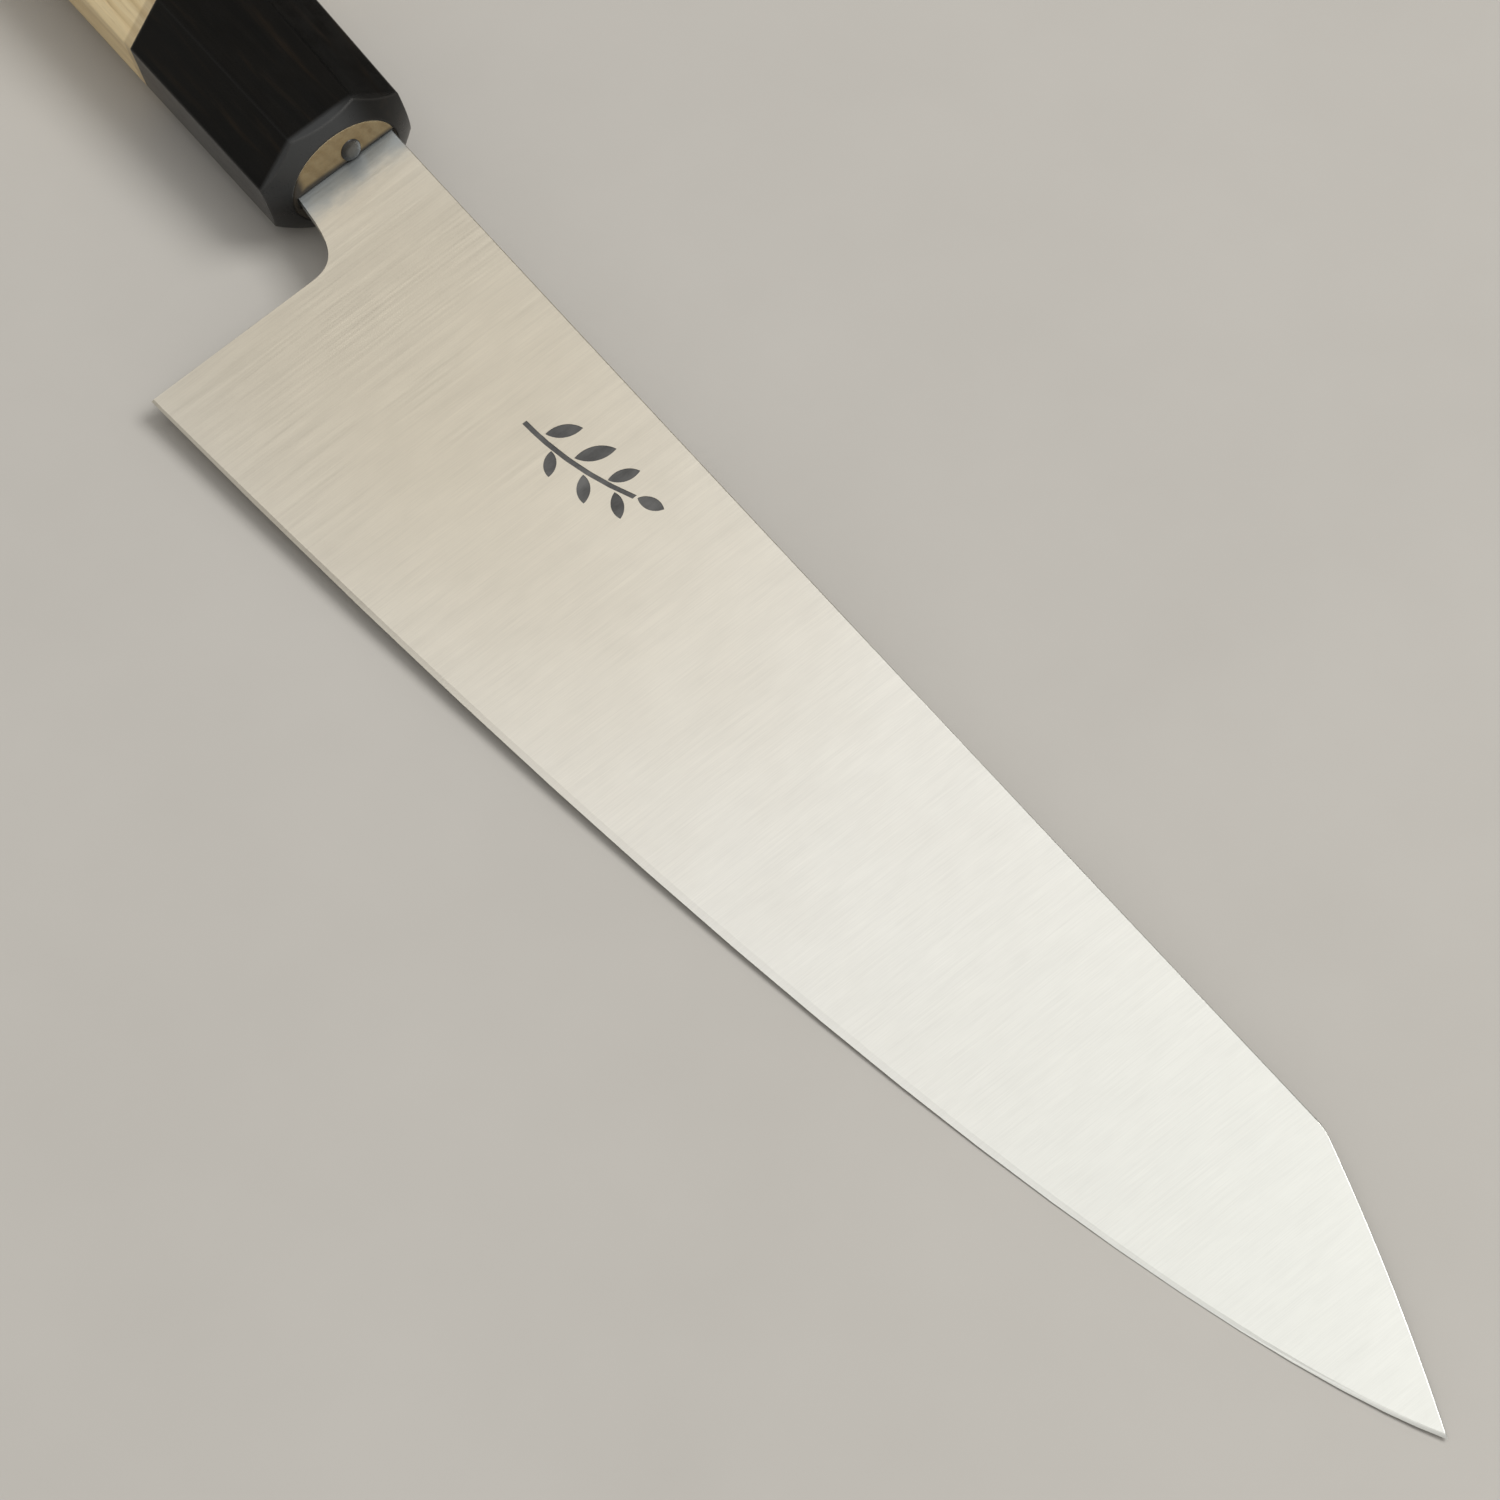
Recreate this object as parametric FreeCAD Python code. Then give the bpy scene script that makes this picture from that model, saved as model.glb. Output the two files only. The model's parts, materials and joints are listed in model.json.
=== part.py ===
import FreeCAD, Part
import math
import os

# Chef knife with a clipped point and an octagonal wooden handle, lying on its left side.
# Working axes: +X runs to the point, +Y to the spine and +Z out of the right face.
# X = 0 is the front of the ferrule, Y = 0 and Z = 0 are the middle of the handle.
# All lengths are in millimetres.

V = FreeCAD.Vector

# ---- blade outline ----
HEEL_X = 11.1
HEEL_Y = -39.25
EDGE_LENGTH = 210.0
TIP_Y = -2.5
CLIP_X = 184.1
CLIP_Y = 10.95
CLIP_CORNER_RADIUS = 7.0
CLIP_MIDDLE = (203.3, 4.6)
SPINE_AT_FERRULE_Y = 7.9
SPINE_MIDDLE = (90.0, 9.15)
NECK_BOTTOM_Y = -7.42
CHOIL_END_Y = -13.2
CHOIL_HANDLES = ((7.5, -7.9), (11.1, -8.6))
EDGE_HANDLES = ((156.0, -28.9), (206.0, -10.8))

# ---- blade thickness: half thickness = at heel + rise * height + taper * length ----
HALF_AT_HEEL = 0.20
HALF_RISE = 0.0226
HALF_TAPER = -0.0032
DISTAL_START = 110.0
DISTAL_THINNING = 0.20
NECK_HALF = 1.30
BEVEL_WIDTHS = (0.35, 1.45, 1.2, 1.3)
SPINE_EASE = 0.15

# ---- hidden tang ----
TANG_LENGTH = 96.0
TANG_SHOULDER = 7.0
TANG_HEIGHT = 9.6
TANG_END_HEIGHT = 5.0
TANG_TAPER = 0.006

# ---- handle ----
HANDLE_LENGTH = 136.0
FERRULE_LENGTH = 32.2
OCT_HEIGHT = 22.3
OCT_WIDTH = 20.4
OCT_LEG_Y = 6.2
OCT_LEG_Z = 5.8
TAPER_HEIGHT = 0.036
TAPER_WIDTH = 0.011
LONG_EDGE_RADIUS = 0.4
BUTT_BEVEL = 1.0
TENON_RADIUS = 8.34
GLUE_FILM = 0.08
GLUE_RECESS = 0.35

# ---- turned front of the ferrule: X against radius ----
FRONT_INNER = (0.0, 8.5)
FRONT_MIDDLE = (-1.0, 10.2)
FRONT_OUTER = (-2.6, 12.4)

# ---- slot for the tang, filled with resin ----
SLOT_GAP = 0.28
SLOT_DEPTH = 9.0
BORE_END = 102.0
BORE_START_SIZE = (11.0, 4.0)
BORE_END_SIZE = (7.0, 3.0)
RESIN_RECESS = 0.25
BEAD_CENTRE = (0.0, 1.65, 3.45)
BEAD_SIZE = (0.5, 1.5, 2.15)

# ---- engraved leaf sprig on the right face ----
ENGRAVE_DEPTH = 0.08
STEM_START = (46.5, -4.6)
STEM_MIDDLE = (55.5, -3.4)
STEM_END = (64.5, -0.4)
STEM_WIDTH = 0.7
# each leaf: foot on the stem (X, Y), direction in degrees, length, width
LEAVES = (
    (49.3, -4.2, 58.0, 5.6, 1.9),
    (51.6, -4.0, -42.0, 4.4, 1.7),
    (54.6, -3.5, 62.0, 6.2, 2.1),
    (57.0, -3.0, -36.0, 4.8, 1.8),
    (60.0, -2.2, 66.0, 5.0, 1.8),
    (61.6, -1.6, -26.0, 4.6, 1.7),
    (64.2, -0.5, 24.0, 4.6, 1.8),
)

TIP_X = HEEL_X + EDGE_LENGTH


def line(a, b):
    return Part.makeLine(V(a[0], a[1], 0), V(b[0], b[1], 0))


def arc(a, b, c):
    return Part.Arc(V(a[0], a[1], 0), V(b[0], b[1], 0), V(c[0], c[1], 0)).toShape()


def bezier(poles):
    curve = Part.BezierCurve()
    curve.setPoles([V(*p) for p in poles])
    return curve.toShape()


def edge_poles():
    """Control points of the cutting edge from heel to point."""
    return [(HEEL_X, HEEL_Y), *EDGE_HANDLES, (TIP_X, TIP_Y)]


def face_half(x, y):
    """Half thickness of the blade's flat face."""
    return HALF_AT_HEEL + HALF_RISE * (y - HEEL_Y) + HALF_TAPER * (x - HEEL_X)


def neck_half(x, y):
    """Half thickness of the neck, which meets the flat face at the heel line."""
    at_heel = face_half(HEEL_X, 0)
    return NECK_HALF + HALF_RISE * y + (at_heel - NECK_HALF) * x / HEEL_X


def tang_half(x, y):
    """Half thickness of the hidden tang, thinning toward the butt."""
    return NECK_HALF + HALF_RISE * y + TANG_TAPER * x


def above(half):
    """Large block whose underside is the sloping plane z = half(x, y)."""
    corners = [(-160, -60), (240, -60), (240, 30), (-160, 30)]
    points = [V(x, y, half(x, y)) for x, y in corners]
    plane = Part.Face(Part.makePolygon(points + points[:1]))
    return plane.extrude(V(0, 0, 12))


def above_blade():
    """Large block over the flat face, whose underside curves down toward the point."""
    side_y = -60
    width = 90
    height = 12
    back_x = -160
    end_x = 240
    middle_x = (DISTAL_START + end_x) / 2
    thinning = DISTAL_THINNING * ((end_x - DISTAL_START) / (TIP_X - DISTAL_START)) ** 2
    back = V(back_x, side_y, face_half(back_x, side_y))
    start = V(DISTAL_START, side_y, face_half(DISTAL_START, side_y))
    middle = V(middle_x, side_y, face_half(middle_x, side_y))
    end = V(end_x, side_y, face_half(end_x, side_y) - thinning)
    top = [V(end_x, side_y, height), V(back_x, side_y, height)]
    edges = [Part.makeLine(back, start), bezier([start, middle, end]), Part.makeLine(end, top[0])]
    edges += [Part.makeLine(*top), Part.makeLine(top[1], back)]
    return Part.Face(Part.Wire(edges)).extrude(V(0, width, width * HALF_RISE))


def ground(prism, upper):
    """Trim a prism between a block above it and the block's mirror image."""
    lower = upper.mirror(V(0, 0, 0), V(0, 0, 1))
    return prism.cut(upper).cut(lower)


def prism(edges):
    face = Part.Face(Part.Wire(edges))
    return face.extrude(V(0, 0, 8)).translated(V(0, 0, -4))


def box(x0, x1, y0, y1, z0, z1):
    return Part.makeBox(x1 - x0, y1 - y0, z1 - z0, V(x0, y0, z0))


def blade_prism():
    spine_start = (0, SPINE_AT_FERRULE_Y)
    clip = (CLIP_X, CLIP_Y)
    tip = (TIP_X, TIP_Y)
    choil_end = (HEEL_X, CHOIL_END_Y)
    neck_start = (0, NECK_BOTTOM_Y)
    solid = prism([
        arc(spine_start, SPINE_MIDDLE, clip),
        arc(clip, CLIP_MIDDLE, tip),
        bezier([p for p in reversed(edge_poles())]),
        line((HEEL_X, HEEL_Y), choil_end),
        bezier([choil_end, CHOIL_HANDLES[1], CHOIL_HANDLES[0], neck_start]),
        line(neck_start, spine_start),
    ])
    corner = [e for e in solid.Edges
              if all(math.hypot(v.X - CLIP_X, v.Y - CLIP_Y) < 0.01 for v in e.Vertexes)]
    return solid.makeFillet(CLIP_CORNER_RADIUS, corner)


def extended(poles, t0, t1):
    """The same cubic curve over the parameter range t0 to t1."""
    def blossom(a, b, c):
        points = [V(*p) for p in poles]
        for t in (a, b, c):
            points = [p * (1 - t) + q * t for p, q in zip(points, points[1:])]
        return points[0]
    return [blossom(t0, t0, t0), blossom(t0, t0, t1), blossom(t0, t1, t1), blossom(t1, t1, t1)]


def bevel_waste():
    """Metal removed by sharpening the right side of the cutting edge.

    Each control point carries the width of the bevel as its third coordinate."""
    poles = extended([(*p, w) for p, w in zip(edge_poles(), BEVEL_WIDTHS)], -0.01, 1.01)

    def rail(step, lift):
        rises = [face_half(p.x, p.y + p.z) * step + lift for p in poles]
        return bezier([(p.x, p.y + p.z * step, rise) for p, rise in zip(poles, rises)])

    rails = [rail(-1, 0), rail(3, 0), rail(3, 2), rail(-1, 2)]
    sides = [Part.makeRuledSurface(a, b) for a, b in zip(rails, rails[1:] + rails[:1])]
    caps = []
    for end in (0, 1):
        corners = [r.Vertexes[end].Point for r in rails]
        caps.append(Part.Face(Part.makePolygon(corners + corners[:1])))
    solid = Part.Solid(Part.Shell([f for side in sides for f in side.Faces] + caps))
    if solid.Volume < 0:
        solid.reverse()
    return solid


def leaf(x, y, direction, length, width):
    """Pointed leaf drawn with two arcs."""
    angle = math.radians(direction)
    along = V(math.cos(angle), math.sin(angle), 0)
    across = V(-along.y, along.x, 0) * (width / 2)
    foot = V(x, y, 0) + along * 0.7
    end = foot + along * (length - 0.7)
    middle = (foot + end) * 0.5
    upper = Part.Arc(foot, middle + across, end).toShape()
    lower = Part.Arc(end, middle - across, foot).toShape()
    return Part.Face(Part.Wire([upper, lower])).extrude(V(0, 0, 4))


def stem():
    half = STEM_WIDTH / 2
    top = [(p[0], p[1] + half) for p in (STEM_START, STEM_MIDDLE, STEM_END)]
    bottom = [(p[0], p[1] - half) for p in (STEM_END, STEM_MIDDLE, STEM_START)]
    edges = [arc(*top), line(top[2], bottom[0]), arc(*bottom), line(bottom[2], top[0])]
    return Part.Face(Part.Wire(edges)).extrude(V(0, 0, 4))


def ornament():
    """Shallow recess in the shape of a leaf sprig, parallel to the flat face."""
    pieces = [leaf(*values) for values in LEAVES]
    drawn = stem().fuse(pieces)
    return drawn.common(above(lambda x, y: face_half(x, y) - ENGRAVE_DEPTH))


def tang():
    top = SPINE_AT_FERRULE_Y
    bottom = NECK_BOTTOM_Y
    half = TANG_HEIGHT / 2
    end = TANG_END_HEIGHT / 2
    step = TANG_SHOULDER
    points = [
        (0, top), (-step, top - 0.2), (-step - 1.5, half), (-TANG_LENGTH + end, end),
    ]
    mirrored = [
        (-TANG_LENGTH + end, -end), (-step - 1.5, -half), (-step, bottom + 0.2), (0, bottom),
    ]
    edges = [line(a, b) for a, b in zip(points, points[1:])]
    edges.append(arc(points[-1], (-TANG_LENGTH, 0), mirrored[0]))
    edges += [line(a, b) for a, b in zip(mirrored, mirrored[1:])]
    edges.append(line(mirrored[-1], points[0]))
    return ground(prism(edges), above(tang_half))


def spine_edges(steel):
    """Long edges of the spine in front of the ferrule, on both faces."""
    picked = []
    for edge in steel.Edges:
        middle = edge.valueAt((edge.FirstParameter + edge.LastParameter) / 2)
        on_spine = middle.y > NECK_BOTTOM_Y + 9 and abs(middle.z) > 0.3
        if on_spine and middle.x > 1 and edge.Length > 1:
            picked.append(edge)
    return picked


def make_blade():
    outline = blade_prism()
    body = ground(outline, above_blade())
    neck = ground(outline.common(box(0, HEEL_X, -60, 30, -5, 5)), above(neck_half))
    waste = bevel_waste()
    body = body.cut(waste).cut(waste.mirror(V(0, 0, 0), V(0, 0, 1)))
    steel = body.fuse([neck, tang()]).removeSplitter()
    return steel.makeFillet(SPINE_EASE, spine_edges(steel)).cut(ornament())


def octagon(x, inset=0.0):
    """Corners of the handle's cross-section at X, optionally drawn in on all sides."""
    half_y = (OCT_HEIGHT - TAPER_HEIGHT * x) / 2 - inset
    half_z = (OCT_WIDTH - TAPER_WIDTH * x) / 2 - inset
    shrink = 1 - inset / 10
    inner_y = half_y - OCT_LEG_Y * shrink
    inner_z = half_z - OCT_LEG_Z * shrink
    quarter = [(half_y, inner_z), (inner_y, half_z)]
    points = list(quarter)
    points += [(-y, z) for y, z in reversed(quarter)]
    points += [(-y, -z) for y, z in quarter]
    points += [(y, -z) for y, z in reversed(quarter)]
    return [V(x, y, z) for y, z in points]


def frustum(front, back):
    """Solid with flat sides between two cross-sections that have parallel edges."""
    pairs = list(zip(front, back))
    sides = [(a, b, d, c) for (a, b), (c, d) in zip(pairs, pairs[1:] + pairs[:1])]
    faces = [Part.Face(Part.makePolygon([*loop, loop[0]])) for loop in [*sides, front, back]]
    solid = Part.Solid(Part.Shell(faces))
    if solid.Volume < 0:
        solid.reverse()
    return solid


def handle_blank():
    """Outer form of the whole handle, before it is divided into wood and horn."""
    bevel_start = -HANDLE_LENGTH + BUTT_BEVEL
    body = frustum(octagon(0), octagon(bevel_start))
    long_edges = [e for e in body.Edges if abs(e.Vertexes[0].X - e.Vertexes[1].X) > 50]
    body = body.makeFillet(LONG_EDGE_RADIUS, long_edges)
    butt = frustum(octagon(bevel_start, 0.12), octagon(-HANDLE_LENGTH, BUTT_BEVEL))
    return body.fuse(butt)


def turned_front():
    """Solid of revolution that gives the ferrule its turned front edge."""
    inner = V(FRONT_INNER[0], FRONT_INNER[1], 0)
    middle = V(FRONT_MIDDLE[0], FRONT_MIDDLE[1], 0)
    outer = V(FRONT_OUTER[0], FRONT_OUTER[1], 0)
    back = -HANDLE_LENGTH - 5
    points = [V(outer.x, 40, 0), V(back, 40, 0), V(back, 0, 0), V(0, 0, 0), inner]
    edges = [Part.Arc(inner, middle, outer).toShape(), Part.makeLine(outer, points[0])]
    edges += [Part.makeLine(a, b) for a, b in zip(points, points[1:])]
    return Part.Face(Part.Wire(edges)).revolve(V(0, 0, 0), V(1, 0, 0), 360)


def round_bar(radius, x0, x1):
    return Part.makeCylinder(radius, x1 - x0, V(x0, 0, 0), V(1, 0, 0))


def make_ferrule():
    blank = handle_blank().common(turned_front())
    horn = blank.common(box(-FERRULE_LENGTH, 1, -40, 40, -40, 40))
    return horn.cut(round_bar(TENON_RADIUS + GLUE_FILM, -FERRULE_LENGTH - 1, 1))


def stadium(x, height, width):
    """Slot-shaped cross-section with round ends."""
    radius = width / 2
    flat = height / 2 - radius
    a, b = V(x, flat, radius), V(x, -flat, radius)
    c, d = V(x, -flat, -radius), V(x, flat, -radius)
    return Part.Wire([
        Part.makeLine(a, b),
        Part.Arc(b, V(x, -height / 2, 0), c).toShape(),
        Part.makeLine(c, d),
        Part.Arc(d, V(x, height / 2, 0), a).toShape(),
    ])


def tang_cavity():
    """Space inside the wood: a slot fitting the neck, then a tapering bore for the tang."""
    top = SPINE_AT_FERRULE_Y + SLOT_GAP
    bottom = NECK_BOTTOM_Y - SLOT_GAP
    slot_wall = above(lambda x, y: tang_half(0, y) + SLOT_GAP)
    slot = ground(box(-SLOT_DEPTH, 0, bottom, top, -4, 4), slot_wall)
    bore = Part.makeLoft(
        [stadium(-SLOT_DEPTH + 0.5, *BORE_START_SIZE), stadium(-BORE_END, *BORE_END_SIZE)], True, True)
    return slot.fuse(bore)


def make_handle_wood():
    blank = handle_blank().common(box(-HANDLE_LENGTH - 1, -FERRULE_LENGTH, -40, 40, -40, 40))
    tenon = round_bar(TENON_RADIUS, -FERRULE_LENGTH - 1, 0)
    return blank.fuse(tenon).cut(tang_cavity())


def make_ferrule_glue():
    outer = round_bar(TENON_RADIUS + GLUE_FILM, -FERRULE_LENGTH, -GLUE_RECESS)
    return outer.cut(round_bar(TENON_RADIUS, -FERRULE_LENGTH - 1, 1))


def make_tang_resin(blade):
    fill = tang_cavity().common(box(-BORE_END - 1, -RESIN_RECESS, -40, 40, -40, 40))
    scale = FreeCAD.Matrix()
    scale.scale(V(*BEAD_SIZE))
    bead = Part.makeSphere(1.0).transformGeometry(scale).translated(V(*BEAD_CENTRE))
    bead = bead.common(box(0, 2, -5, 8, 0, 8))
    foot = box(-RESIN_RECESS - 0.5, 0.2, 0.6, 2.7, 1.2, face_half(0, 1.6) + SLOT_GAP)
    foot = foot.common(tang_cavity().fuse(bead))
    return fill.fuse([bead, foot]).cut(blade)


def main():
    thickest = HANDLE_LENGTH - BUTT_BEVEL
    spine_side = (OCT_HEIGHT + TAPER_HEIGHT * thickest) / 2
    left_side = (OCT_WIDTH + TAPER_WIDTH * thickest) / 2
    # origin: middle of the length and of the height, level with the underside of the handle
    shift = V((HANDLE_LENGTH - TIP_X) / 2, -(HEEL_Y + spine_side) / 2, left_side)
    blade = make_blade()
    nodes = {
        "blade": blade,
        "handle_wood": make_handle_wood(),
        "ferrule": make_ferrule(),
        "ferrule_glue": make_ferrule_glue(),
        "tang_resin": make_tang_resin(blade),
    }
    os.makedirs("parts", exist_ok=True)
    for name, shape in nodes.items():
        solid = shape.Solids[0].translated(shift)
        print(name, solid.isValid(), round(solid.Volume, 1), solid.optimalBoundingBox(False))
        solid.exportStep("parts/" + name + ".step")


main()
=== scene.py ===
import json
import math

import bpy
import bmesh
from mathutils import Matrix, Vector


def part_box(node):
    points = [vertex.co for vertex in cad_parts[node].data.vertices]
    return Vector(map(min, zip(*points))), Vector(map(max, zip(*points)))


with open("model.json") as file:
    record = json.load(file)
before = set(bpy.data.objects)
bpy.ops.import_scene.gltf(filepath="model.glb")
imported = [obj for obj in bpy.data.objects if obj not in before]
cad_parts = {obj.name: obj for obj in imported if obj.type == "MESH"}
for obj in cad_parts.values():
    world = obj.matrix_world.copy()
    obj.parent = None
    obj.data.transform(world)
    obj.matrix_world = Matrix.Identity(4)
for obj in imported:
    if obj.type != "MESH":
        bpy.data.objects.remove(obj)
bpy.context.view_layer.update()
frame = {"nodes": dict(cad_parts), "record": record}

# ---------------------------------------------------------------- places
MM = 0.001
ferrule_low, ferrule_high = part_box("ferrule")
# the middle of the ferrule's front: +X to the point, +Y to the spine, +Z out of the right face
ferrule_middle = (ferrule_low + ferrule_high) / 2
FRONT = Vector((ferrule_high.x, ferrule_middle.y, ferrule_middle.z))
FERRULE_BACK = (ferrule_low.x - ferrule_high.x) / MM
# the knife lies on a corner of the ferrule and on its edge, so the floor is tilted and not the knife
FLOOR_UP = Vector((-0.044, 0.163, 0.986)).normalized()
FLOOR_HALF_SIZE = 3.0
# box that holds the engraved sprig, in millimetres from the ferrule's front
SPRIG_X = (44.0, 71.0)
SPRIG_Y = (-9.0, 6.0)
# about how far back the turned front of the ferrule reaches, in millimetres
TURNED_DEPTH = 2.4


def at(x, y, z):
    """Point given in millimetres from the middle of the ferrule's front."""
    return FRONT + Vector((x, y, z)) * MM


# ---------------------------------------------------------------- node helpers
def new_material(name):
    """Empty node material with a Principled shader; returns material, tree and shader."""
    material = bpy.data.materials.new(name)
    material.use_nodes = True
    tree = material.node_tree
    tree.nodes.clear()
    output = tree.nodes.new("ShaderNodeOutputMaterial")
    shader = tree.nodes.new("ShaderNodeBsdfPrincipled")
    tree.links.new(shader.outputs["BSDF"], output.inputs["Surface"])
    return material, tree, shader


def connect(tree, value, socket):
    """Link an output to a socket, or set the socket's own value."""
    if isinstance(value, bpy.types.NodeSocket):
        tree.links.new(value, socket)
    elif isinstance(value, tuple) and len(value) == 3 and socket.type == "RGBA":
        socket.default_value = (*value, 1.0)
    else:
        socket.default_value = value


def math_node(tree, operation, a, b=0.0):
    node = tree.nodes.new("ShaderNodeMath")
    node.operation = operation
    connect(tree, a, node.inputs[0])
    connect(tree, b, node.inputs[1])
    return node.outputs[0]


def add(tree, a, b):
    return math_node(tree, "ADD", a, b)


def times(tree, a, b):
    return math_node(tree, "MULTIPLY", a, b)


def knife_mm(tree):
    """Object coordinates in millimetres; on the knife they start at the middle of the ferrule's front."""
    coords = tree.nodes.new("ShaderNodeTexCoord").outputs["Object"]
    return mapped(tree, coords, (1 / MM,) * 3, tuple(-FRONT / MM))


def mapped(tree, vector, scale=(1, 1, 1), location=(0, 0, 0)):
    node = tree.nodes.new("ShaderNodeMapping")
    node.inputs["Scale"].default_value = scale
    node.inputs["Location"].default_value = location
    connect(tree, vector, node.inputs["Vector"])
    return node.outputs[0]


def parts_of(tree, vector):
    """The X, Y and Z outputs of a vector."""
    node = tree.nodes.new("ShaderNodeSeparateXYZ")
    connect(tree, vector, node.inputs[0])
    return node.outputs


def vector_value(tree, operation, vector, other):
    """Number that a vector operation gives, such as DOT_PRODUCT or DISTANCE."""
    node = tree.nodes.new("ShaderNodeVectorMath")
    node.operation = operation
    connect(tree, vector, node.inputs[0])
    connect(tree, other, node.inputs[1])
    return node.outputs["Value"]


def noise(tree, vector, scale=(1, 1, 1), detail=3.0, roughness=0.55, offset=(0, 0, 0), distortion=0.0):
    """Noise from 0 to 1; the scale gives features per millimetre along each axis."""
    node = tree.nodes.new("ShaderNodeTexNoise")
    connect(tree, mapped(tree, vector, scale, offset), node.inputs["Vector"])
    node.inputs["Scale"].default_value = 1.0
    node.inputs["Detail"].default_value = detail
    node.inputs["Roughness"].default_value = roughness
    node.inputs["Distortion"].default_value = distortion
    return node.outputs["Fac"]


def ramp(tree, fac, *stops):
    """Colour ramp; each stop is a position and a grey level or a colour."""
    node = tree.nodes.new("ShaderNodeValToRGB")
    connect(tree, fac, node.inputs["Fac"])
    elements = node.color_ramp.elements
    while len(elements) < len(stops):
        elements.new(0.5)
    for element, (position, colour) in zip(elements, stops):
        element.position = position
        if isinstance(colour, (int, float)):
            colour = (colour, colour, colour)
        element.color = (*colour, 1.0)
    return node.outputs["Color"]


def rescale(tree, value, low, high, to_low=0.0, to_high=1.0):
    """Smooth step from one pair of values to another."""
    node = tree.nodes.new("ShaderNodeMapRange")
    node.interpolation_type = "SMOOTHSTEP"
    numbers = {"From Min": low, "From Max": high, "To Min": to_low, "To Max": to_high}
    for name, number in numbers.items():
        node.inputs[name].default_value = number
    connect(tree, value, node.inputs["Value"])
    return node.outputs["Result"]


def between(tree, value, low, high, soft):
    """1 where the value lies from low to high, fading to 0 over the soft width."""
    rise = rescale(tree, value, low - soft, low)
    fall = rescale(tree, value, high, high + soft, 1.0, 0.0)
    return times(tree, rise, fall)


def mix(tree, factor, a, b, blend="MIX"):
    node = tree.nodes.new("ShaderNodeMix")
    node.data_type = "RGBA"
    node.blend_type = blend
    connect(tree, factor, node.inputs["Factor"])
    colours = [socket for socket in node.inputs if socket.type == "RGBA"]
    connect(tree, a, colours[0])
    connect(tree, b, colours[1])
    return next(socket for socket in node.outputs if socket.type == "RGBA")


def shade(tree, strength, tone, pattern):
    """Tone multiplied by a pattern, as strongly as the strength says."""
    return mix(tree, strength, tone, pattern, "MULTIPLY")


def bump(tree, height, strength, distance, normal=None):
    node = tree.nodes.new("ShaderNodeBump")
    node.inputs["Strength"].default_value = strength
    node.inputs["Distance"].default_value = distance
    connect(tree, height, node.inputs["Height"])
    if normal is not None:
        connect(tree, normal, node.inputs["Normal"])
    return node.outputs["Normal"]


def worn_edges(tree, radius):
    """Rounded normal near sharp edges, and a mask of how near an edge is."""
    rounded = tree.nodes.new("ShaderNodeBevel")
    rounded.samples = 6
    rounded.inputs["Radius"].default_value = radius
    flat = tree.nodes.new("ShaderNodeNewGeometry").outputs["Normal"]
    match = vector_value(tree, "DOT_PRODUCT", rounded.outputs["Normal"], flat)
    return rounded.outputs["Normal"], rescale(tree, match, 0.998, 0.93)


def assign(node, material):
    piece = frame["nodes"][node]
    piece.data.materials.clear()
    piece.data.materials.append(material)


# ---------------------------------------------------------------- blade steel
def engraved(tree, place):
    """Mask of the leaf sprig: points a little under the plane of the right face."""
    face = next(m for m in frame["record"]["mounts"] if m["name"] == "blade_right_face")
    normal = Vector(face["axis"])
    level = normal.dot(Vector(face["pos_m"]) - FRONT) / MM
    depth = math_node(tree, "SUBTRACT", level, vector_value(tree, "DOT_PRODUCT", place, tuple(normal)))
    cut = rescale(tree, depth, 0.012, 0.045)
    x, y, z = parts_of(tree, place)
    area = times(tree, between(tree, x, *SPRIG_X, 0.5), between(tree, y, *SPRIG_Y, 0.5))
    return times(tree, times(tree, cut, area), rescale(tree, z, 0.0, 0.2))


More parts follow.
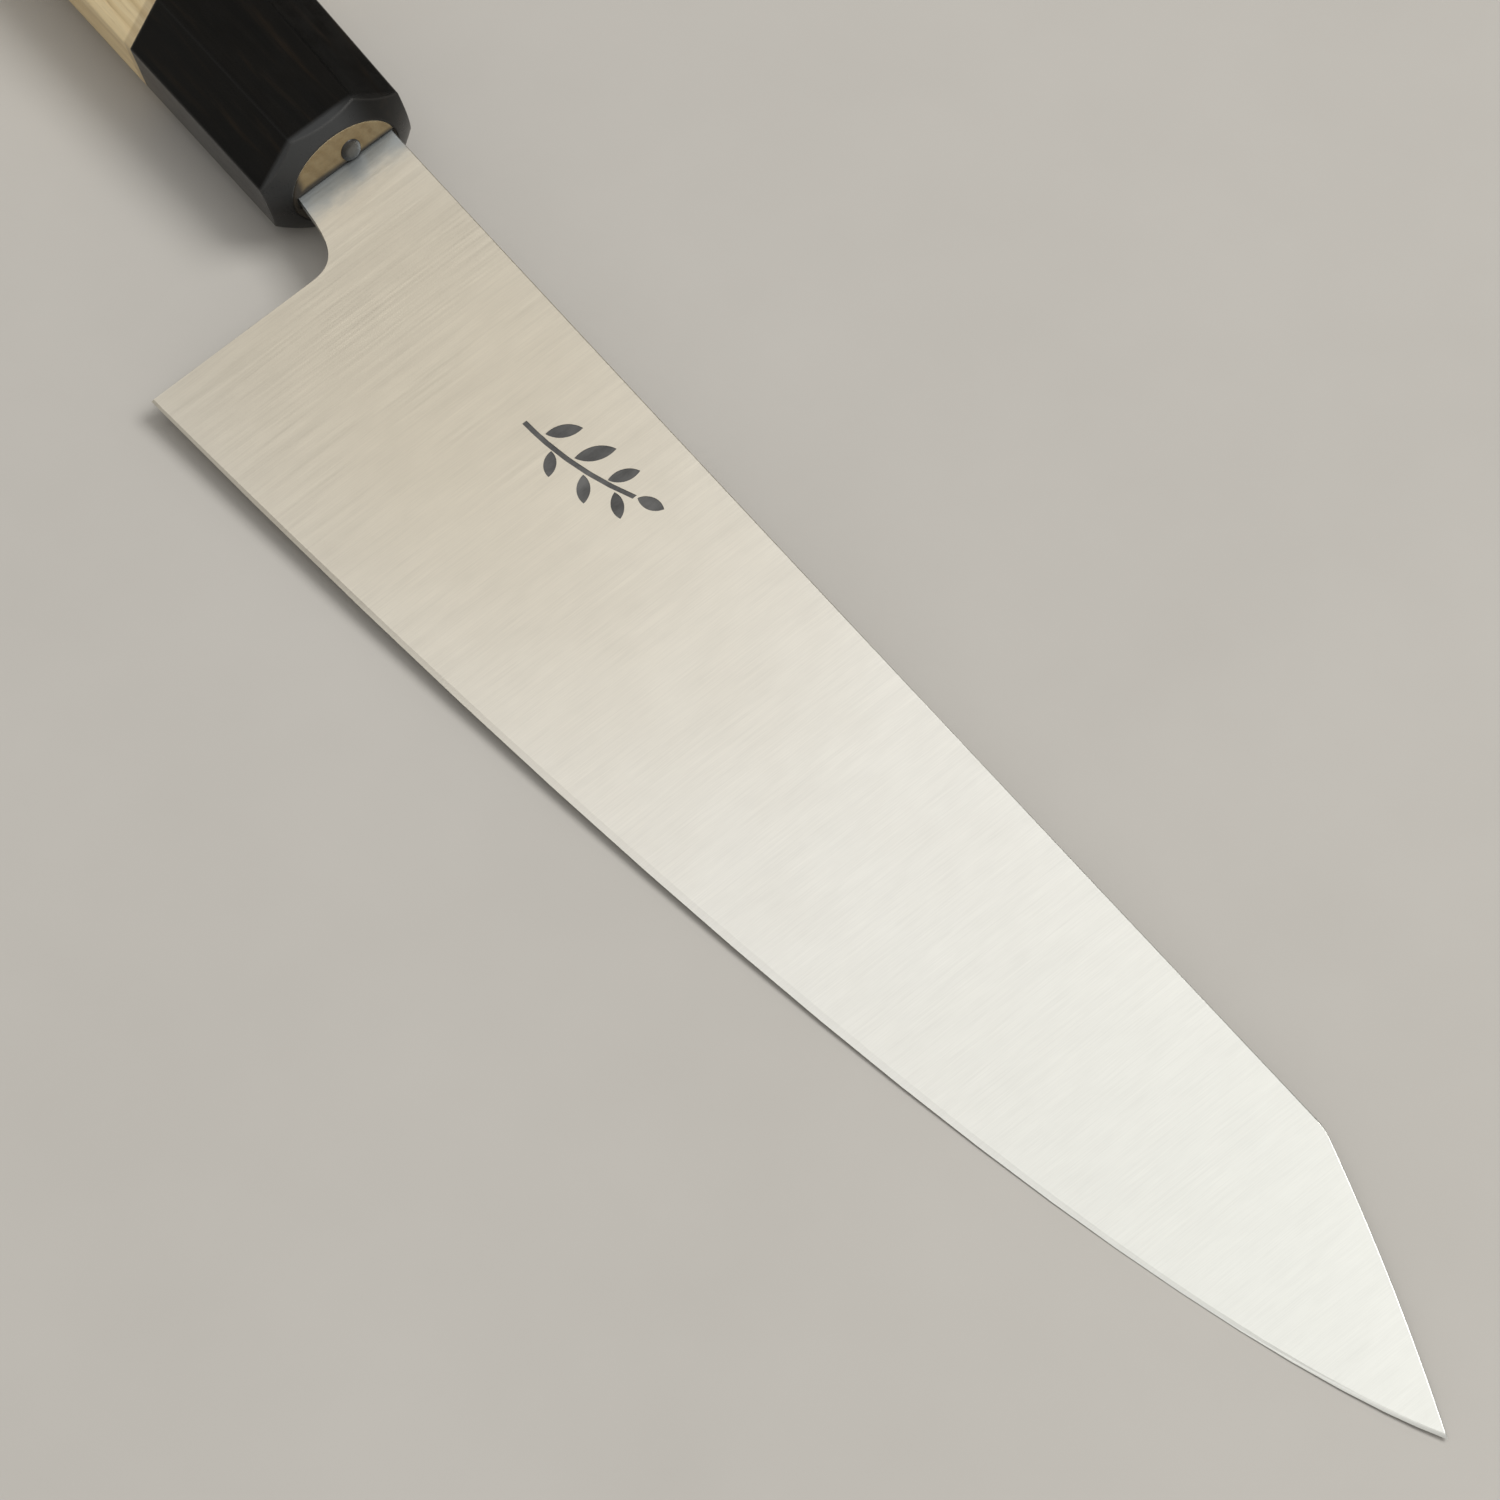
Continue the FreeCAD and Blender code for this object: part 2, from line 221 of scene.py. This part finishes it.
def make_steel():
    """Satin steel, ground from spine to edge, with an engraving that holds dark residue."""
    material, tree, shader = new_material("ground_steel")
    shader.inputs["Metallic"].default_value = 1.0
    # the grinding lines run from spine to edge and spread reflections along the blade
    shader.inputs["Anisotropic"].default_value = 0.6
    shader.inputs["Anisotropic Rotation"].default_value = 0.25
    ground = tree.nodes.new("ShaderNodeTangent")
    ground.direction_type = "RADIAL"
    ground.axis = "X"
    connect(tree, ground.outputs["Tangent"], shader.inputs["Tangent"])
    place = knife_mm(tree)
    x, y, z = parts_of(tree, place)
    cloud = noise(tree, place, (0.05, 0.06, 0.06), 4.0, 0.6)
    patches = noise(tree, place, (0.35, 0.18, 0.2), 4.0, 0.62, (4, 9, 2))
    lines = noise(tree, place, (2.8, 0.05, 0.05), 3.0, 0.6)
    scratches = noise(tree, place, (7.0, 0.16, 0.16), 2.0, 0.5, (3, 1, 0))
    groove = engraved(tree, place)
    tone = mix(tree, rescale(tree, cloud, 0.3, 0.7), (0.825, 0.812, 0.770), (0.850, 0.842, 0.805))
    # a faint straw tint round the heel, a painted reflection of warm surroundings, and a slightly greyer
    # point
    heel_distance = vector_value(tree, "DISTANCE", mapped(tree, place, (0.75, 1, 1)), (19.0, -9.0, 1.0))
    tone = mix(tree, rescale(tree, heel_distance, 6.0, 84.0, 1.0, 0.0), tone, (0.770, 0.712, 0.598))
    tone = mix(tree, rescale(tree, x, 85.0, 205.0), tone, (0.725, 0.735, 0.705))
    tone = shade(tree, 0.12, tone, ramp(tree, lines, (0.3, 0.65), (0.7, 1.0)))
    tone = shade(tree, 0.07, tone, ramp(tree, scratches, (0.3, 0.4), (0.62, 1.0)))
    tone = shade(tree, 0.12, tone, ramp(tree, patches, (0.3, 0.75), (0.65, 1.0)))
    # a cool, dull grey band painted on the neck next to the handle: a painted reflection of the dark
    # ferrule and painted shade from it
    neck_painted_shade = rescale(tree, add(tree, x, times(tree, patches, 4.0)), 3.0, 7.6, 1.0, 0.0)
    tone = mix(tree, times(tree, neck_painted_shade, 0.92), tone, (0.35, 0.385, 0.405))
    tone = mix(tree, groove, tone, ramp(tree, patches, (0.3, 0.09), (0.7, 0.19)))
    connect(tree, tone, shader.inputs["Base Color"])
    rough = rescale(tree, lines, 0.2, 0.8, 0.34, 0.43)
    rough = add(tree, rough, rescale(tree, cloud, 0.3, 0.7, -0.01, 0.015))
    rough = add(tree, rough, times(tree, groove, 0.25))
    connect(tree, rough, shader.inputs["Roughness"])
    height = add(tree, lines, times(tree, scratches, 0.6))
    connect(tree, bump(tree, height, 0.07, 0.00002), shader.inputs["Normal"])
    return material


# ---------------------------------------------------------------- buffalo horn
def make_horn():
    """Black buffalo horn: faint brown streaks, satin polish, a hazy turned front with painted shade, and
    worn edges with a painted highlight.
    """
    material, tree, shader = new_material("dark_horn")
    shader.inputs["IOR"].default_value = 1.54
    shader.inputs["Specular IOR Level"].default_value = 0.20
    place = knife_mm(tree)
    x, y, z = parts_of(tree, place)
    streaks = noise(tree, place, (0.05, 0.5, 0.5), 4.0, 0.6, distortion=0.6)
    fibres = noise(tree, place, (0.12, 2.6, 2.6), 3.0, 0.6)
    cloud = noise(tree, place, (0.2, 0.28, 0.28), 4.0, 0.6, (7, 3, 5))
    fine = noise(tree, place, (9, 9, 9), 2.0, 0.5)
    rounded, edge = worn_edges(tree, 0.0005)
    black = (0.0030, 0.0031, 0.0029)
    dark = (0.0046, 0.0042, 0.0036)
    brown = (0.014, 0.0095, 0.0056)
    tone = ramp(tree, streaks, (0.34, black), (0.58, dark), (0.8, brown))
    tone = shade(tree, 0.25, tone, ramp(tree, fibres, (0.35, 0.6), (0.65, 1.0)))
    # the turned front is less polished than the facets and greyer; the grey fading out toward the spine
    # side and toward the bottom is painted shade
    front = rescale(tree, x, -TURNED_DEPTH - 0.5, -TURNED_DEPTH + 0.5)
    haze_and_painted_shade = times(tree, front, rescale(tree, y, 1.0, 7.0, 0.95, 0.0))
    haze_and_painted_shade = times(tree, haze_and_painted_shade, rescale(tree, z, -1.0, 4.5, 0.08, 1.0))
    tone = mix(tree, haze_and_painted_shade, tone, (0.044, 0.046, 0.048))
    # the lighter edges are partly wear and partly a painted highlight along the arrises
    tone = mix(tree, times(tree, edge, 0.35), tone, (0.055, 0.052, 0.048))
    connect(tree, tone, shader.inputs["Base Color"])
    rough = rescale(tree, cloud, 0.3, 0.7, 0.17, 0.23)
    rough = add(tree, rough, rescale(tree, fibres, 0.3, 0.7, -0.01, 0.015))
    rough = add(tree, rough, times(tree, front, 0.10))
    rough = add(tree, rough, times(tree, edge, 0.10))
    connect(tree, rough, shader.inputs["Roughness"])
    height = add(tree, times(tree, fibres, 0.6), times(tree, fine, 0.3))
    connect(tree, bump(tree, height, 0.04, 0.00002, rounded), shader.inputs["Normal"])
    return material


# ---------------------------------------------------------------- handle wood
def make_wood():
    """Pale ho wood with straight grain: long fibres on the facets, darker rings on the ends."""
    material, tree, shader = new_material("pale_wood")
    place = knife_mm(tree)
    x, y, z = parts_of(tree, place)
    drift = noise(tree, place, (0.012, 0.10, 0.10), 2.0, 0.5)
    across = add(tree, times(tree, y, 0.93), times(tree, z, 0.37))
    along_ring = math_node(tree, "SUBTRACT", z, times(tree, y, 0.4))
    bend = times(tree, math_node(tree, "POWER", along_ring, 2.0), 0.006)
    rings = add(tree, add(tree, across, bend), times(tree, drift, 5.0))
    ring_wave = math_node(tree, "SINE", times(tree, rings, 2.9))
    streaks = noise(tree, place, (0.014, 0.75, 0.75), 4.0, 0.6)
    fibres = noise(tree, place, (0.09, 4.2, 4.2), 3.0, 0.6)
    pores = noise(tree, place, (0.35, 7.5, 7.5), 2.0, 0.5, (2, 8, 4))
    cloud = noise(tree, place, (0.03, 0.12, 0.12), 3.0, 0.6, (1, 5, 9))
    rounded, edge = worn_edges(tree, 0.0005)
    honey, straw, cream = (0.66, 0.51, 0.28), (0.79, 0.64, 0.385), (0.86, 0.73, 0.47)
    tone = ramp(tree, streaks, (0.3, honey), (0.5, straw), (0.72, cream))
    late_wood = rescale(tree, ring_wave, -0.2, 1.0)
    tone = shade(tree, 0.30, tone, ramp(tree, late_wood, (0.0, 1.0), (1.0, (0.66, 0.60, 0.50))))
    tone = shade(tree, 0.30, tone, ramp(tree, fibres, (0.34, 0.55), (0.62, 1.0)))
    tone = mix(tree, rescale(tree, pores, 0.60, 0.72, 0.0, 0.32), tone, (0.33, 0.23, 0.13))
    tone = shade(tree, 0.20, tone, ramp(tree, cloud, (0.35, (0.78, 0.72, 0.62)), (0.65, 1.0)))
    # light handling wear on the edges, and grime in the joint behind the ferrule
    tone = mix(tree, times(tree, edge, 0.22), tone, (0.80, 0.71, 0.53))
    joint = between(tree, x, FERRULE_BACK - 1.2, FERRULE_BACK + 0.2, 0.5)
    tone = mix(tree, times(tree, joint, 0.35), tone, (0.20, 0.14, 0.09))
    # the end faces are browner, the front one most
    facing = parts_of(tree, tree.nodes.new("ShaderNodeTexCoord").outputs["Normal"])[0]
    end = rescale(tree, math_node(tree, "ABSOLUTE", facing), 0.5, 0.85)
    browner = mix(tree, rescale(tree, x, -60.0, -20.0), (0.56, 0.52, 0.44), (0.36, 0.335, 0.285))
    tone = mix(tree, end, tone, shade(tree, 1.0, tone, browner))
    # glue has soaked into the front end along the slot, and the dark band there is widened with painted
    # shade; the dark patch below the neck is a painted shadow
    from_slot = add(tree, math_node(tree, "ABSOLUTE", z), times(tree, cloud, 1.2))
    soaked_and_painted_shade = rescale(tree, from_slot, 2.3, 3.4, 0.92, 0.0)
    painted_shadow_below_neck = rescale(tree, y, -5.8, -7.0, 0.0, 0.95)
    stain_and_painted_shadow = times(tree, math_node(tree, "MAXIMUM", soaked_and_painted_shade, painted_shadow_below_neck), rescale(tree, x, -2.0, -1.0))
    tone = mix(tree, stain_and_painted_shadow, tone, (0.022, 0.018, 0.014))
    connect(tree, tone, shader.inputs["Base Color"])
    connect(tree, rescale(tree, fibres, 0.3, 0.7, 0.48, 0.64), shader.inputs["Roughness"])
    height = add(tree, times(tree, fibres, 0.7), times(tree, pores, -0.5))
    connect(tree, bump(tree, height, 0.22, 0.00004, rounded), shader.inputs["Normal"])
    return material


# ---------------------------------------------------------------- resin and glue
def make_resin():
    """Dark grey epoxy around the tang, with dust and fine bubbles."""
    material, tree, shader = new_material("grey_resin")
    shader.inputs["IOR"].default_value = 1.55
    place = knife_mm(tree)
    cloud = noise(tree, place, (0.9, 0.9, 0.9), 3.0, 0.6)
    bubbles = noise(tree, place, (6, 6, 6), 2.0, 0.5, (5, 2, 1))
    tone = ramp(tree, cloud, (0.3, (0.012, 0.012, 0.012)), (0.7, (0.026, 0.025, 0.023)))
    # a lighter grey painted highlight on the crown of the bead beside the neck, which is also rougher
    from_crown = vector_value(tree, "DISTANCE", mapped(tree, place, (1, 1, 0.72)), (0.4, 1.65, 2.5))
    crown_painted_highlight = rescale(tree, add(tree, from_crown, times(tree, bubbles, 0.5)), 0.75, 1.35, 1.0, 0.0)
    tone = mix(tree, crown_painted_highlight, tone, (0.085, 0.085, 0.080))
    tone = mix(tree, rescale(tree, bubbles, 0.62, 0.75, 0.0, 0.4), tone, (0.12, 0.12, 0.11))
    connect(tree, tone, shader.inputs["Base Color"])
    rough = add(tree, rescale(tree, cloud, 0.3, 0.7, 0.24, 0.36), times(tree, crown_painted_highlight, 0.2))
    connect(tree, rough, shader.inputs["Roughness"])
    connect(tree, bump(tree, bubbles, 0.2, 0.00008), shader.inputs["Normal"])
    return material


def make_glue():
    """Amber glue line between the tenon and the ferrule."""
    material, tree, shader = new_material("amber_glue")
    shader.inputs["IOR"].default_value = 1.5
    place = knife_mm(tree)
    cloud = noise(tree, place, (1.2, 1.2, 1.2), 3.0, 0.6)
    tone = ramp(tree, cloud, (0.3, (0.06, 0.040, 0.020)), (0.7, (0.15, 0.105, 0.055)))
    connect(tree, tone, shader.inputs["Base Color"])
    connect(tree, rescale(tree, cloud, 0.3, 0.7, 0.25, 0.45), shader.inputs["Roughness"])
    connect(tree, bump(tree, cloud, 0.15, 0.00005), shader.inputs["Normal"])
    return material


assign("blade", make_steel())
assign("ferrule", make_horn())
assign("handle_wood", make_wood())
assign("tang_resin", make_resin())
assign("ferrule_glue", make_glue())


# ---------------------------------------------------------------- floor the knife rests on
def make_floor_material():
    """Pale matt floor with a faint mottle; seen from below, the tilted floor doesn't hide the knife."""
    material, tree, shader = new_material("pale_floor")
    mottle = noise(tree, knife_mm(tree), (0.02, 0.02, 0.02), 4.0, 0.6)
    tone = ramp(tree, mottle, (0.3, (0.470, 0.455, 0.430)), (0.7, (0.495, 0.480, 0.455)))
    connect(tree, tone, shader.inputs["Base Color"])
    shader.inputs["Roughness"].default_value = 0.8
    output = next(node for node in tree.nodes if node.type == "OUTPUT_MATERIAL")
    see_through = tree.nodes.new("ShaderNodeBsdfTransparent")
    sides = tree.nodes.new("ShaderNodeMixShader")
    connect(tree, tree.nodes.new("ShaderNodeNewGeometry").outputs["Backfacing"], sides.inputs["Fac"])
    tree.links.new(shader.outputs["BSDF"], sides.inputs[1])
    tree.links.new(see_through.outputs["BSDF"], sides.inputs[2])
    tree.links.new(sides.outputs[0], output.inputs["Surface"])
    return material


def make_floor():
    """Plain floor that touches the knife's lowest point along the floor's own normal."""
    points = [v.co for piece in frame["nodes"].values() for v in piece.data.vertices]
    lowest = min(FLOOR_UP.dot(point) for point in points)
    under_blade = at(80, -10, 0)
    centre = under_blade + FLOOR_UP * (lowest - FLOOR_UP.dot(under_blade))
    mesh = bpy.data.meshes.new("floor")
    tools = bmesh.new()
    bmesh.ops.create_grid(tools, x_segments=1, y_segments=1, size=FLOOR_HALF_SIZE)
    tools.to_mesh(mesh)
    tools.free()
    floor = bpy.data.objects.new("floor", mesh)
    tilt = FLOOR_UP.to_track_quat("Z", "Y").to_matrix().to_4x4()
    floor.matrix_world = Matrix.Translation(centre) @ tilt
    bpy.context.scene.collection.objects.link(floor)
    mesh.materials.append(make_floor_material())


make_floor()


# ---------------------------------------------------------------- camera and lights
def make_camera():
    """Long lens above the edge side of the point, looking back at the blade and the ferrule."""
    right = Vector((0.6030, 0.7864, -0.1340)).normalized()
    down = Vector((0.6871, -0.5974, -0.4135)).normalized()
    forward = Vector((-0.4053, 0.1573, -0.9006)).normalized()
    data = bpy.data.cameras.new("camera")
    data.sensor_width = 36.0
    data.lens = 115.2
    data.clip_start = 0.05
    data.clip_end = 20.0
    camera = bpy.data.objects.new("camera", data)
    turn = Matrix([right, -down, -forward]).transposed().to_4x4()
    camera.matrix_world = Matrix.Translation(at(339.1, -102.7, 528.2)) @ turn
    bpy.context.scene.collection.objects.link(camera)
    bpy.context.scene.camera = camera


def area_light(name, place, target, size, power, colour):
    data = bpy.data.lights.new(name, "AREA")
    data.shape = "RECTANGLE"
    data.size, data.size_y = size
    data.energy = power
    data.color = colour
    light = bpy.data.objects.new(name, data)
    turn = (target - place).to_track_quat("-Z", "Y").to_matrix().to_4x4()
    light.matrix_world = Matrix.Translation(place) @ turn
    bpy.context.scene.collection.objects.link(light)


def make_overhead():
    """Large soft box that the right face of the blade mirrors; its edges leave the heel less bright."""
    height = 1500
    low_x, high_x = -0.51 * height, 0.40 * height
    low_y, high_y = -0.34 * height, 0.50 * height
    place = at(100 + (low_x + high_x) / 2, -10 + (low_y + high_y) / 2, height)
    size = ((high_x - low_x) * MM, (high_y - low_y) * MM)
    radiance = 1.09
    power = radiance * math.pi * size[0] * size[1]
    area_light("overhead", place, place - Vector((0, 0, 1)), size, power, (1.0, 1.0, 0.985))


def make_room():
    """Dim room around the lights: paler past the point and past the edge, dark past the spine."""
    world = bpy.data.worlds.new("studio")
    bpy.context.scene.world = world
    world.use_nodes = True
    tree = world.node_tree
    direction = tree.nodes.new("ShaderNodeTexCoord").outputs["Generated"]
    toward_point, toward_spine, _ = parts_of(tree, direction)
    side = add(tree, times(tree, toward_spine, 0.5), 0.5)
    warm_dim = (0.235, 0.220, 0.200)
    past_edge = ((0.07, (0.16, 0.15, 0.135)), (0.16, (0.52, 0.51, 0.48)), (0.26, (0.46, 0.45, 0.43)))
    past_spine = ((0.36, warm_dim), (0.75, warm_dim), (0.92, (0.02, 0.019, 0.018)))
    room = ramp(tree, side, *past_edge, *past_spine)
    light = mix(tree, rescale(tree, toward_point, -0.35, 0.35), room, (0.56, 0.54, 0.51))
    connect(tree, light, tree.nodes["Background"].inputs["Color"])


make_camera()
make_overhead()
# smaller key light from the spine side, which throws the shadow along the edge
area_light("key", at(520, 900, 1350), at(60, -10, 0), (0.8, 0.8), 16.0, (1.0, 0.985, 0.95))
make_room()
bpy.context.scene.view_settings.view_transform = "Standard"
